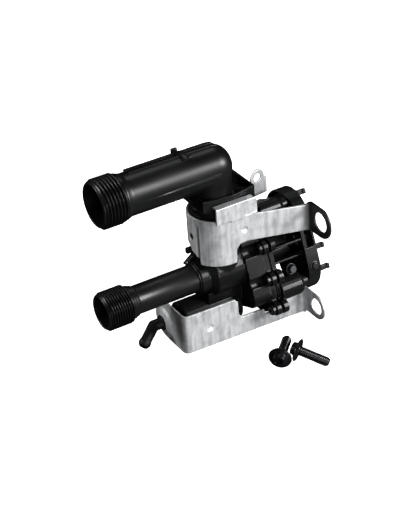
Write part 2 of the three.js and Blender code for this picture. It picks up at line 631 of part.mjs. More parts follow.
function lowerBracket() {
  const corners = [[-22, 48], [17.2, 48], [20, EAR_PLANE], [LOW_EAR.x + LOW_EAR.radius, EAR_PLANE]];
  const wall = prismZ(ribbon(roundedPath(corners, 4), SHEET), -1, 40);
  const front = new THREE.Shape();
  front.moveTo(-9, 0);
  front.lineTo(60, 0);
  front.lineTo(60, 29.4);
  front.lineTo(-6, 29.4);
  front.quadraticCurveTo(-21.5, 28.5, -21.8, 13);
  front.quadraticCurveTo(-21, 1, -9, 0);
  const frontKeep = prismY(front, 40, 51);
  const side = polygon([
    [50, 0], [150, 0], [150, 17], [132, 17], [123, 16.4], [121.4, 9.4],
    [109.6, 9.4], [108.4, 13.9], [91.6, 13.9], [89, 16.6], [88.6, 27], [86, 29.4], [50, 29.4],
  ]);
  const sideKeep = prismX(side, 10, 28);
  const earKeep = prismY(polygon([[19, 0], [60, 0], [60, 20.9], [19, 20.9]]), 138.4, 146);
  let sheet = wall.intersect(union(frontKeep, sideKeep, earKeep));
  sheet = trimEar(sheet, LOW_EAR, 22.6, 60);
  const hole = rodY(5.2, 40, 52, NOZZLE.x, NOZZLE.z, 20);
  const pocket = rodY(10.2, 46, 50, NOZZLE.x, NOZZLE.z);
  sheet = cut(union(cut(sheet, pocket), dome(11.2, 2.4, 47.25)), dome(9.8, 2.4, 48.75), hole);
  return cut(sheet, dimple(17.9, 66.3, 14.7, 2.4));
}

function dome(radius, height, base) {
  return turnedY([
    [0, base - height], [radius * 0.5, base - height], [radius * 0.8, base - height * 0.55],
    [radius, base], [radius, base + 1.5], [0, base + 1.5],
  ], NOZZLE.x, NOZZLE.z);
}

// ---------- hose nozzle ----------
function nozzle() {
  const stub = turnedY([
    [0, 38], [3.6, 38], [3.9, 39.4], [3.9, 42.4], [4.9, 44.2], [4.9, 49.2], [4.3, 49.8],
    [4.3, 54], [3.3, 54], [3.3, 56.6],
    [4.3, 56.6], [4.3, 64], [0, 64],
  ], 0, 0, 20);
  const knee = solid(new THREE.SphereGeometry(3.9, 20, 10)).translate([0, KNEE_Y, 0]);
  const barb = turnedY([
    [0, 0], [3.9, 0], [3.75, 11.6], [4.2, 13], [4.2, 14.6], [3.1, 16.6], [0, 16.6],
  ], 0, 0, 20);
  const turnArm = (part) => part.rotate([0, 0, 180 + NOZZLE.bend]).translate([0, KNEE_Y, 0]);
  const armBore = rodY(2.1, -0.5, 20, 0, 0, SMALL_SEGMENTS);
  const stubBore = rodY(2.1, KNEE_Y, 66, 0, 0, SMALL_SEGMENTS);
  const whole = cut(union(stub, knee, turnArm(barb)), turnArm(armBore), stubBore);
  return whole.rotate([0, NOZZLE.swivel, 0]).translate([NOZZLE.x, 0, NOZZLE.z]);
}

// ---------- spindle set ----------
function spindle() {
  const radius = SPINDLE_RADIUS;
  const groove = radius - 0.8;
  const collar = radius + 2.1;
  const rows = [[0, 80.6], [groove, 80.6], [radius, 81.4]];
  DISCS.forEach((y) => {
    rows.push([radius, y - 1.3], [collar, y - 1.3], [collar, y - CLEARANCE], [radius, y - CLEARANCE]);
  });
  rows.push([radius, 135.2], [groove, 135.2], [groove, 136.8], [radius, 136.8]);
  rows.push([radius, 146], [groove, 147], [0, 147]);
  return turnedY(rows, PUSH.x, PUSH.z, 20);
}

function closingDisc(y) {
  return ringY(DISC.radius, SPINDLE_RADIUS + CLEARANCE, y, y + DISC.thickness, PUSH.x, PUSH.z);
}

function returnSpring() {
  const steps = Math.round(SPRING.turns * 16);
  const points = [];
  for (let k = 0; k <= steps; k += 1) {
    const angle = (k / 16) * 2 * Math.PI;
    const along = SPRING.front + SPRING.wire + (k / steps) * (SPRING.back - SPRING.front - 2 * SPRING.wire);
    points.push(new THREE.Vector3(
      PUSH.x + SPRING.radius * Math.cos(angle), along, PUSH.z + SPRING.radius * Math.sin(angle),
    ));
  }
  const section = new THREE.Shape();
  section.absarc(0, 0, SPRING.wire, 0, 2 * Math.PI, false);
  const geometry = new THREE.ExtrudeGeometry(section, {
    steps, bevelEnabled: false, extrudePath: new THREE.CatmullRomCurve3(points), curveSegments: 3,
  });
  return solid(geometry);
}

function flangeScrew(w, v, flip) {
  const headBase = BODY_FLANGE.front - 0.9;
  const tip = REAR_FLANGE.back - 0.3;
  const profile = [
    [0, headBase - SCREW.headHeight], [1.4, headBase - SCREW.headHeight],
    [SCREW.head - 0.6, headBase - SCREW.headHeight], [SCREW.head, headBase - SCREW.headHeight + 0.8],
    [SCREW.head, headBase], [SCREW.shank, headBase], [SCREW.shank, tip - 0.6],
    [SCREW.shank - 0.6, tip], [0, tip],
  ];
  const body = turnedY(profile, 0, 0, SMALL_SEGMENTS);
  const recess = rodY(1.5, headBase - SCREW.headHeight - 1, headBase - 1.2, 0, 0, 6);
  let screw = cut(body, recess);
  if (flip) {
    const seat = REAR_FLANGE.back + 0.3;
    screw = screw.rotate([180, 0, 0]).translate([0, seat + headBase, 0]);
  }
  return tilted(screw.translate([w, 0, v]));
}

// ---------- loose mounting screws ----------
function mountingScrew() {
  const body = turnedY([
    [0, 0], [3.5, 0], [4.2, 0.7], [4.6, 3.2], [7.5, 3.8], [7.8, 4.4], [7.5, 5.0], [3.6, 5.2],
    [3.3, 6.4], [3.3, 25], [2.5, 26.6], [0, 26.6],
  ], 0, 0, 20);
  return cut(body, rodY(2.4, -1, 2.6, 0, 0, 6));
}

function laidScrew({ head, heading, droop }) {
  const aligned = mountingScrew().translate([0, -4.4, 0]).rotate([-droop, 0, 0]);
  return aligned.rotate([0, 0, heading]).translate(head);
}

// ---------- assembly ----------
const materials = {
  black: new THREE.MeshStandardMaterial({ color: 0x1c1c1e, roughness: 0.55 }),
  rubber: new THREE.MeshStandardMaterial({ color: 0x0c0c0c, roughness: 0.8 }),
  zinc: new THREE.MeshStandardMaterial({ color: 0xc4c6c8, roughness: 0.35, metalness: 0.9 }),
  steel: new THREE.MeshStandardMaterial({ color: 0x8d9094, roughness: 0.3, metalness: 1 }),
  screw: new THREE.MeshStandardMaterial({ color: 0x111112, roughness: 0.4, metalness: 0.6 }),
};

const group = new THREE.Group();
group.name = "diverter_valve";

function add(name, part, material) {
  const mesh = part.getMesh();
  const geometry = new THREE.BufferGeometry();
  geometry.setAttribute("position", new THREE.BufferAttribute(new Float32Array(mesh.vertProperties), 3));
  geometry.setIndex(new THREE.BufferAttribute(new Uint32Array(mesh.triVerts), 1));
  geometry.computeVertexNormals();
  const made = new THREE.Mesh(geometry, material);
  made.name = name;
  group.add(made);
}

add("upper_elbow_pipe", upperElbowPipe(), materials.black);
add("elbow_o_ring", oRingZ(11.0, 0.8, UPPER.x, ELBOW_Y, 87.3), materials.rubber);
add("elbow_cap", capPlate(), materials.black);
add("elbow_retaining_clip", elbowClip(), materials.steel);
add("valve_body", valveBody(), materials.black);
add("lower_pipe", lowerPipe(), materials.black);
add("lower_pipe_o_ring", oRingY(8.3, 0.7, LOWER.x, SOCKET_FRONT + 2.9, LOWER.z), materials.rubber);
add("flange_gasket", flangeGasket(), materials.rubber);
add("rear_housing", rearHousing(), materials.black);
add("actuator_cup", actuatorCup(), materials.black);
add("test_plug", tilted(plugRod(2.4)), materials.black);
add("upper_bracket", upperBracket(), materials.zinc);
add("lower_bracket", lowerBracket(), materials.zinc);
add("hose_nozzle", nozzle(), materials.black);
add("nozzle_o_ring", oRingY(3.9, 0.5, NOZZLE.x, 55.3, NOZZLE.z), materials.rubber);
const seatRadius = CHAMBER_BORE - CLEARANCE;
add("front_seat", ringY(seatRadius, 8.2, FRONT_SEAT.front, FRONT_SEAT.back, PUSH.x, PUSH.z), materials.steel);
add("rear_seat", ringY(seatRadius, 8.2, REAR_SEAT.front, REAR_SEAT.back, PUSH.x, PUSH.z), materials.steel);
add("spindle", spindle(), materials.steel);
add("front_disc", closingDisc(DISCS[0]), materials.rubber);
add("rear_disc", closingDisc(DISCS[1]), materials.rubber);
add("spindle_guide", ringY(4.1, 2.8, 118.5, 121.6, PUSH.x, PUSH.z, 20), materials.steel);
add("spindle_seal", ringY(4.6, 2.8, 116.5, 117.9, PUSH.x, PUSH.z, 20), materials.rubber);
add("return_spring", returnSpring(), materials.steel);
add("spring_retainer", ringY(7.0, 2.0, 135.5, 136.5, PUSH.x, PUSH.z, 20), materials.steel);
FRONT_SCREWS.forEach(([w, v], i) => add(`flange_screw_${i + 1}`, flangeScrew(w, v, false), materials.screw));
add("flange_screw_6", flangeScrew(...REAR_SCREW, true), materials.screw);
add("mounting_screw_1", laidScrew(SCREW_A), materials.screw);
add("mounting_screw_2", laidScrew(SCREW_B), materials.screw);

// The origin is the centre of the box around the whole part, on its lowest plane.
const bounds = new THREE.Box3().setFromObject(group);
const middle = bounds.getCenter(new THREE.Vector3());
group.children.forEach((mesh) => mesh.geometry.translate(-middle.x, -middle.y, -bounds.min.z));

export default group;
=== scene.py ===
"""Visual model of the diverter valve: detailed pieces, materials, camera, light and floor.

The object's constants are millimetres in the valve's own layout, with the upper pipe's end
face at y = 0, and place() turns them into the frame's metres. The view's and the studio's
constants are metres in the frame, and the lens and the sensor are millimetres.
"""

import json
import math

import bmesh
import bpy
from mathutils import Matrix, Vector


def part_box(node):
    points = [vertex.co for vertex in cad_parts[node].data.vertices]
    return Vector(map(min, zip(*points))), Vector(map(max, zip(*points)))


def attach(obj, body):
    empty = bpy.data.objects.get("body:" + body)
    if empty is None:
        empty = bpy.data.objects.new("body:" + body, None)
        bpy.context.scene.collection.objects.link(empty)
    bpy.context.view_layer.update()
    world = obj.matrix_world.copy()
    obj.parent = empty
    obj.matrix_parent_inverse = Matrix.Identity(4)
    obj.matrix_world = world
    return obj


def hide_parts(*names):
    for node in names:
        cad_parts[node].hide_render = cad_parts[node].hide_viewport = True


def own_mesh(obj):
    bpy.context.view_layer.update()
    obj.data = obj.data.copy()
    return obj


# ---------- driving dimensions, in millimetres ----------
MM = 0.001
UPPER_Z = 123.5
LOWER_Z = 44.4
LOWER_FRONT = -2.9
G1 = {"root": 15.15, "crest": 16.62, "pitch": 2.309, "turns": 7}
G34 = {"root": 12.06, "crest": 13.22, "pitch": 1.814, "turns": 10}
UPPER_RADIUS = 14.2
LOWER_RADIUS = 9.7
ELBOW_Y = 84.0
BEND_FULLNESS = 2.4
PIPE_RIBS = [(-1.3, 1.1, 138.5), (-7.4, -4.6, 137.3)]
SADDLE = {"front": 62.5, "back": 66.7, "radius": 15.9, "from": 66.0, "to": 129.0}
THREAD_LEAD = 0.9
THREAD_ROWS = 10
ROUND = 96
SCREWS = {
    "mounting_screw_1": ((65.2, 105.0, 7.75), -57.0, 11.5),
    "mounting_screw_2": ((65.8, 90.6, 7.85), 44.0, 0.0),
}
HEAD_SHIFT = -4.4
SPRING = {"front": 122.0, "back": 134.6, "turns": 4.5, "radius": 5.6, "wire": 0.6}
NOZZLE = {"x": -9.0, "z": 12.3, "knee": 38.4, "bend": 39.0, "swivel": 46.0}
NOZZLE_SEGMENTS = 48
NOZZLE_BARREL = 3.9
# Rows of (radius, y) for the turned pieces.
NOZZLE_STUB_ROWS = [
    (0.01, 38.4), (3.5, 38.4), (3.9, 39.6), (3.9, 42.4), (4.1, 43.1), (4.9, 44.2), (4.9, 49.2),
    (4.3, 49.7), (4.3, 54), (3.3, 54),
    (3.3, 56.6), (4.3, 56.6), (4.3, 63.8), (4.1, 64), (0.01, 64),
]
NOZZLE_BARB_ROWS = [
    (0.01, 0), (3.9, 0), (3.75, 11.4), (3.85, 12.0), (4.2, 12.9), (4.2, 14.6), (3.3, 16.3),
    (3.0, 16.6), (2.1, 16.6), (2.1, 2.0), (0.01, 2.0),
]
SCREW_HEAD_ROWS = [
    (0.01, 2.6), (2.1, 2.6), (2.3, 2.4), (2.4, 0.35), (2.7, 0.0), (3.5, 0.0), (4.0, 0.3),
    (4.25, 0.9), (4.45, 2.2), (4.65, 3.1), (5.1, 3.4), (7.3, 3.8), (7.65, 4.05), (7.8, 4.4),
    (7.65, 4.8), (7.3, 5.0), (3.7, 5.2), (3.2, 5.6), (2.95, 6.2),
]
SCREW_TIP_ROWS = [(2.7, 25.8), (2.5, 26.4), (2.3, 26.6), (0.01, 26.6)]
SCREW_RECESS_ROWS = (1, 2, 3)
SCREW_RECESS_LOBES = 6
SCREW_RECESS_DEPTH = 0.13
SCREW_PITCH = 1.25
SCREW_TURNS = 15
SCREW_TURN_ROWS = 8
SCREW_THREAD = {"root": 2.9, "depth": 0.4, "start": 6.4}
SCREW_SEGMENTS = 72
EDGE_WIDTH = 0.25
EDGE_ANGLE = 35.0

# ---------- view ----------
CAMERA_PLACE = (0.70838, -0.41135, 0.58610)
CAMERA_AZIMUTH = 60.67
CAMERA_ELEVATION = 32.04
CAMERA_ROLL = -3.74
CAMERA_LENS = 106.3
SENSOR = 36.0
FLOOR_GLOW = 0.8
FLOOR_HALF = 3.0
FLOOR_DROP = 0.0002
LIGHT_AIM = (0.0, 0.0, 0.06)
ROOM_TINT = (0.96, 0.98, 1.0, 1.0)
# The room's light by direction: a pale side and its strengths, from the dark side to the pale one.
PALE_SIDE = (0.87, 0.22, -0.44)
ROOM_DARK = 0.015
ROOM_PALE = 0.28
ROOM_SPREAD = (0.15, 1.0)
# Softboxes: place, width and height in metres, and power in watts.
SOFTBOXES = {
    "key_box": ((0.82, 0.74, 0.56), (0.36, 0.36), 21.0),
    "side_box": ((1.25, -0.25, 0.22), (0.4, 0.4), 8.0),
    "top_box": ((-0.45, 0.35, 1.05), (0.4, 0.4), 1.6),
    "front_box": ((-0.45, -0.95, 0.65), (0.3, 0.3), 9.0),
}


# ---------- frame ----------
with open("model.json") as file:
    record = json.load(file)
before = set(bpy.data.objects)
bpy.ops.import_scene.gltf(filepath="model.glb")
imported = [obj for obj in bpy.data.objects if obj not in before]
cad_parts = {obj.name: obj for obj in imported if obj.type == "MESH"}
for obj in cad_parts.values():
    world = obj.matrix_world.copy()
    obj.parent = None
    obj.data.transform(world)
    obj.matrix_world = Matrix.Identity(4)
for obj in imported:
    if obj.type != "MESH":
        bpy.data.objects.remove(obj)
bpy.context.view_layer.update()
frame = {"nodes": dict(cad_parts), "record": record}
lower_corner, upper_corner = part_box("lower_pipe")
SHIFT = Vector((
    (lower_corner[0] + upper_corner[0]) / 2,
    lower_corner[1] - LOWER_FRONT * MM,
    (lower_corner[2] + upper_corner[2]) / 2 - LOWER_Z * MM,
))


def place(x, y, z):
    """A point of the valve's layout, in the frame's metres."""
    return Vector((x, y, z)) * MM + SHIFT


# ---------- mesh helpers ----------
def grid_faces(rows, columns, closed_columns=True):
    faces = []
    last = columns if closed_columns else columns - 1
    for i in range(rows - 1):
        for j in range(last):
            a = i * columns + j
            b = i * columns + (j + 1) % columns
            faces.append((a, b, b + columns, a + columns))
    return faces


def turned(profile, segments=ROUND, shape=None):
    """Vertices and faces of a piece turned about +Y. Profile rows are (radius, y)."""
    vertices = []
    for row, (radius, y) in enumerate(profile):
        for k in range(segments):
            angle = 2 * math.pi * k / segments
            r = shape(row, radius, y, angle) if shape else radius
            vertices.append(Vector((r * math.cos(angle), y, r * math.sin(angle))))
    faces = grid_faces(len(profile), segments)
    return vertices, faces


def placed(part, matrix):
    vertices, faces = part
    return [matrix @ v for v in vertices], faces


def joined(*parts):
    vertices = []
    faces = []
    for some_vertices, some_faces in parts:
        start = len(vertices)
        vertices.extend(some_vertices)
        faces.extend(tuple(start + i for i in face) for face in some_faces)
    return vertices, faces


def softened(mesh, radius):
    """Rounds a work mesh's edges, and returns its vertices and faces."""
    bmesh.ops.bevel(mesh, geom=mesh.edges[:], offset=radius, segments=3, profile=0.5, affect="EDGES")
    vertices = [v.co.copy() for v in mesh.verts]
    faces = [tuple(v.index for v in f.verts) for f in mesh.faces]
    mesh.free()
    return vertices, faces


def softened_box(low, high, radius):
    """A box with rounded edges, as vertices and faces."""
    mesh = bmesh.new()
    bmesh.ops.create_cube(mesh, size=1.0)
    size = [h - l for l, h in zip(low, high)]
    middle = [(h + l) / 2 for l, h in zip(low, high)]
    bmesh.ops.scale(mesh, vec=size, verts=mesh.verts)
    bmesh.ops.translate(mesh, vec=middle, verts=mesh.verts)
    return softened(mesh, radius)


def softened_prism(outline, low, high, radius):
    """A side outline in (y, z) run from x = low to x = high, with rounded edges."""
    mesh = bmesh.new()
    ends = [[mesh.verts.new((x, y, z)) for y, z in outline] for x in (low, high)]
    count = len(outline)
    mesh.faces.new(ends[0])
    mesh.faces.new(ends[1][::-1])
    for k in range(count):
        after = (k + 1) % count
        mesh.faces.new((ends[0][k], ends[1][k], ends[1][after], ends[0][after]))
    bmesh.ops.recalc_face_normals(mesh, faces=mesh.faces)
    return softened(mesh, radius)


def arc_band(start, end, inner, outer, front, back, steps=18, round_off=0.5):
    """A curved bar about +Y between two angles in degrees, with its outer edges eased."""
    section = [
        (inner, front), (outer - round_off, front),
        (outer - round_off * 0.3, front + round_off * 0.3),
        (outer, front + round_off), (outer, back - round_off),
        (outer - round_off * 0.3, back - round_off * 0.3), (outer - round_off, back), (inner, back),
    ]
    vertices = []
    for k in range(steps + 1):
        angle = math.radians(start + (end - start) * k / steps)
        for radius, y in section:
            vertices.append(Vector((radius * math.cos(angle), y, radius * math.sin(angle))))
    faces = grid_faces(steps + 1, len(section))
    faces.append(tuple(range(len(section))))
    faces.append(tuple(range(len(vertices) - 1, len(vertices) - 1 - len(section), -1)))
    return vertices, faces


def smooth_by_angle(mesh, degrees=32.0):
    """Smooth faces with sharp edges kept where they turn more than the angle."""
    work = bmesh.new()
    work.from_mesh(mesh)
    bmesh.ops.remove_doubles(work, verts=work.verts, dist=1e-7)
    bmesh.ops.recalc_face_normals(work, faces=work.faces)
    limit = math.radians(degrees)
    for face in work.faces:
        face.smooth = True
    for edge in work.edges:
        edge.smooth = not (edge.is_manifold and edge.calc_face_angle() > limit)
    work.to_mesh(mesh)
    work.free()


def piece(name, part, material, body, replaces):
    """A finished piece from layout millimetres."""
    vertices, faces = part
    mesh = bpy.data.meshes.new(name)
    mesh.from_pydata([place(*v) for v in vertices], [], faces)
    smooth_by_angle(mesh)
    made = bpy.data.objects.new(name, mesh)
    bpy.context.collection.objects.link(made)
    made.data.materials.append(material)
    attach(made, body)
    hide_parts(replaces)
    return made


# ---------- material helpers ----------
# The colour sockets of a Mix node: its two inputs and its result.
MIX_A = 6
MIX_B = 7
MIX_RESULT = 2


def new_material(name):
    made = bpy.data.materials.new(name)
    made.use_nodes = True
    return made, made.node_tree, made.node_tree.nodes["Principled BSDF"]


def noise(tree, scale, detail=3.0, stretch=(1.0, 1.0, 1.0)):
    coordinates = tree.nodes.new("ShaderNodeTexCoord")
    mapping = tree.nodes.new("ShaderNodeMapping")
    texture = tree.nodes.new("ShaderNodeTexNoise")
    mapping.inputs["Scale"].default_value = stretch
    texture.inputs["Scale"].default_value = scale
    texture.inputs["Detail"].default_value = detail
    tree.links.new(coordinates.outputs["Object"], mapping.inputs["Vector"])
    tree.links.new(mapping.outputs["Vector"], texture.inputs["Vector"])
    return texture.outputs["Fac"]


def ramp(tree, source, low, high, low_at=0.3, high_at=0.7):
    made = tree.nodes.new("ShaderNodeValToRGB")
    made.color_ramp.elements[0].position = low_at
    made.color_ramp.elements[1].position = high_at
    made.color_ramp.elements[0].color = (*low, 1.0)
    made.color_ramp.elements[1].color = (*high, 1.0)
    tree.links.new(source, made.inputs["Fac"])
    return made.outputs["Color"]


def scaled_range(tree, source, low, high):
    made = tree.nodes.new("ShaderNodeMapRange")
    made.inputs["From Min"].default_value = 0.3
    made.inputs["From Max"].default_value = 0.7
    made.inputs["To Min"].default_value = low
    made.inputs["To Max"].default_value = high
    tree.links.new(source, made.inputs["Value"])
    return made.outputs["Result"]


def bump(tree, shader, source, strength, distance):
    made = tree.nodes.new("ShaderNodeBump")
    made.inputs["Strength"].default_value = strength
    made.inputs["Distance"].default_value = distance
    tree.links.new(source, made.inputs["Height"])
    tree.links.new(made.outputs["Normal"], shader.inputs["Normal"])


def multiplied(tree, first, second):
    made = tree.nodes.new("ShaderNodeMix")
    made.data_type = "RGBA"
    made.blend_type = "MULTIPLY"
    made.inputs["Factor"].default_value = 1.0
    tree.links.new(first, made.inputs[MIX_A])
    tree.links.new(second, made.inputs[MIX_B])
    return made.outputs[MIX_RESULT]


# ---------- materials ----------
# Soft limits of the upper bracket's two places of painted shade, its near ear and the strap's crease:
# (axis, from, to), in the frame's metres.
NEAR_EAR_PAINTED_SHADE = [
    ("Y", place(0, 134, 0).y, place(0, 141, 0).y), ("X", place(20, 0, 0).x, place(31, 0, 0).x),
]
# Painted shade in the strap's crease, where the sheet turns at its bend.
CREASE_PAINTED_SHADE = [
    ("X", place(4.6, 0, 0).x, place(6.2, 0, 0).x), ("X", place(8.2, 0, 0).x, place(6.6, 0, 0).x),
    ("Y", place(0, 78, 0).y, place(0, 74, 0).y), ("Z", place(0, 0, 90).z, place(0, 0, 84).z),
]


def black_plastic(name, shade=0.006, low=0.3, high=0.42):
    """Glass-filled moulding: near black, satin, with a fine grain and faint flow marks."""
    made, tree, shader = new_material(name)
    flow = noise(tree, 60.0, 4.0, (1.0, 0.35, 1.0))
    grain = noise(tree, 2600.0, 2.0)
    dark = (shade * 0.7, shade * 0.72, shade * 0.76)
    light = (shade * 1.5, shade * 1.54, shade * 1.62)
    colour = ramp(tree, flow, dark, light)
    tree.links.new(colour, shader.inputs["Base Color"])
    tree.links.new(scaled_range(tree, flow, low, high), shader.inputs["Roughness"])
    shader.inputs["Specular IOR Level"].default_value = 0.28
    bump(tree, shader, grain, 0.12, 0.0001)
    return made


def galvanised_steel(name, streak_axis):
    """Zinc-coated sheet: pale, with blotchy spangle and faint rolling streaks."""
    made, tree, shader = new_material(name)
    stretch = [1.0, 1.0, 1.0]
    stretch[streak_axis] = 0.15
    streaks = noise(tree, 360.0, 4.0, tuple(stretch))
    spangle = noise(tree, 170.0, 6.0)
    streak_colour = ramp(tree, streaks, (0.46, 0.465, 0.47), (0.64, 0.645, 0.65), 0.36, 0.6)
    spangle_colour = ramp(tree, spangle, (0.74, 0.745, 0.75), (1.0, 1.0, 1.0), 0.34, 0.56)
    colour = multiplied(tree, streak_colour, spangle_colour)
    tree.links.new(colour, shader.inputs["Base Color"])
    tree.links.new(scaled_range(tree, spangle, 0.55, 0.4), shader.inputs["Roughness"])
    shader.inputs["Metallic"].default_value = 0.5
    bump(tree, shader, spangle, 0.12, 0.0002)
    return made


def darkened(tree, shader, colour, limits, depth):
    """Takes a colour down to a depth inside soft limits: (axis, from, to), in the frame's metres."""
    coordinates = tree.nodes.new("ShaderNodeTexCoord")
    parts = tree.nodes.new("ShaderNodeSeparateXYZ")
    tree.links.new(coordinates.outputs["Object"], parts.inputs["Vector"])
    weight = None
    for axis, start, end in limits:
        edge = tree.nodes.new("ShaderNodeMapRange")
        edge.interpolation_type = "SMOOTHSTEP"
        edge.inputs["From Min"].default_value = start
        edge.inputs["From Max"].default_value = end
        tree.links.new(parts.outputs[axis], edge.inputs["Value"])
        if weight is None:
            weight = edge.outputs["Result"]
            continue
        both = tree.nodes.new("ShaderNodeMath")
        both.operation = "MULTIPLY"
        tree.links.new(weight, both.inputs[0])
        tree.links.new(edge.outputs["Result"], both.inputs[1])
        weight = both.outputs["Value"]
    mixed = tree.nodes.new("ShaderNodeMix")
    mixed.data_type = "RGBA"
    mixed.inputs[MIX_B].default_value = (depth, depth, depth, 1.0)
    tree.links.new(weight, mixed.inputs["Factor"])
    tree.links.new(colour, mixed.inputs[MIX_A])
    tree.links.new(mixed.outputs[MIX_RESULT], shader.inputs["Base Color"])
    return mixed.outputs[MIX_RESULT]


def upper_bracket_steel(name):
    """The upper bracket's sheet, with painted shade taking its near ear and the strap's crease dark by
    place.
    """
    made = galvanised_steel(name, 2)
    tree = made.node_tree
    shader = tree.nodes["Principled BSDF"]
    sheet = shader.inputs["Base Color"].links[0].from_socket
    # Painted shade: the near ear and the arm's end beside it are taken dark by their place on the part.
    ear = darkened(tree, shader, sheet, NEAR_EAR_PAINTED_SHADE, 0.03)
    # Painted shade: the strap's crease is taken darker by its place on the part.
    darkened(tree, shader, ear, CREASE_PAINTED_SHADE, 0.12)
    return made


def black_screw(name):
    """Blackened steel, with a coating that is worn brighter in patches."""
    made, tree, shader = new_material(name)
    wear = noise(tree, 900.0, 3.0)
    colour = ramp(tree, wear, (0.003, 0.003, 0.004), (0.016, 0.016, 0.018))
    tree.links.new(colour, shader.inputs["Base Color"])
    tree.links.new(scaled_range(tree, wear, 0.22, 0.42), shader.inputs["Roughness"])
    shader.inputs["Metallic"].default_value = 0.4
    shader.inputs["Specular IOR Level"].default_value = 0.35
    return made


def soft_rubber(name):
    made, tree, shader = new_material(name)
    dust = noise(tree, 700.0, 3.0)
    colour = ramp(tree, dust, (0.006, 0.006, 0.006), (0.016, 0.016, 0.017))
    tree.links.new(colour, shader.inputs["Base Color"])
    tree.links.new(scaled_range(tree, dust, 0.6, 0.8), shader.inputs["Roughness"])
    bump(tree, shader, dust, 0.1, 0.0001)
    return made


def satin_steel(name):
    made, tree, shader = new_material(name)
    lines = noise(tree, 900.0, 3.0, (1.0, 0.05, 1.0))
    colour = ramp(tree, lines, (0.42, 0.42, 0.43), (0.62, 0.62, 0.63))
    tree.links.new(colour, shader.inputs["Base Color"])
    tree.links.new(scaled_range(tree, lines, 0.22, 0.36), shader.inputs["Roughness"])
    shader.inputs["Metallic"].default_value = 1.0
    return made


def floor_paper(name):
    made, tree, shader = new_material(name)
    fibre = noise(tree, 90.0, 4.0)
    colour = ramp(tree, fibre, (0.93, 0.93, 0.93), (0.95, 0.95, 0.95))
    tree.links.new(colour, shader.inputs["Base Color"])
    shader.inputs["Roughness"].default_value = 0.9
    shader.inputs["Specular IOR Level"].default_value = 0.1
    shader.inputs["Emission Color"].default_value = (1.0, 1.0, 1.0, 1.0)
    shader.inputs["Emission Strength"].default_value = FLOOR_GLOW
    return made


MATERIALS = {
    "black": black_plastic("black_plastic"),
    "plug": black_plastic("plug_plastic", 0.05, 0.3, 0.4),
    "zinc": galvanised_steel("galvanised_steel", 2),
    "screw": black_screw("black_screw"),
    "matt": black_plastic("matt_plastic", 0.002, 0.5, 0.6),
    "rubber": soft_rubber("soft_rubber"),
    "steel": satin_steel("satin_steel"),
}
# The upper bracket's steel, with painted shade on its near ear and in the strap's crease.
UPPER_BRACKET_STEEL = upper_bracket_steel("painted_shade_steel")


# ---------- threaded pipes ----------
def thread_rows(thread, front):
    """Profile rows through the threaded length, at the thread's root."""
    rows = []
    count = thread["turns"] * THREAD_ROWS
    for k in range(count + 1):
        rows.append((thread["root"], front + THREAD_LEAD + k * thread["pitch"] / THREAD_ROWS))
    return rows


def thread_shape(thread, front):
    """Radius of a right-handed thread that fades in and out at its ends."""
    start = front + THREAD_LEAD
    length = thread["turns"] * thread["pitch"]
    depth = thread["crest"] - thread["root"]

    def shape(row, radius, y, angle):
        along = y - start
        if radius != thread["root"] or along < 0 or along > length:
            return radius
        turn = along / thread["pitch"] + angle / (2 * math.pi)
        wave = 1 - abs(2 * (turn % 1.0) - 1)
        flank = min(1.0, max(0.0, wave * 1.35 - 0.12))
        fade = min(1.0, along / thread["pitch"] * 1.6, (length - along) / thread["pitch"] * 1.6)
        return radius + depth * flank * max(0.0, fade)

    return shape


def rib_outline(top):
    """Side view of a rib: straight along the pipe, then eased down over the elbow."""
    return [
        (26, 7), (ELBOW_Y + 8.4, 7), (ELBOW_Y + 8.4, top - 3), (ELBOW_Y + 5.6, top - 0.7),
        (ELBOW_Y + 1, top), (26, top),
    ]


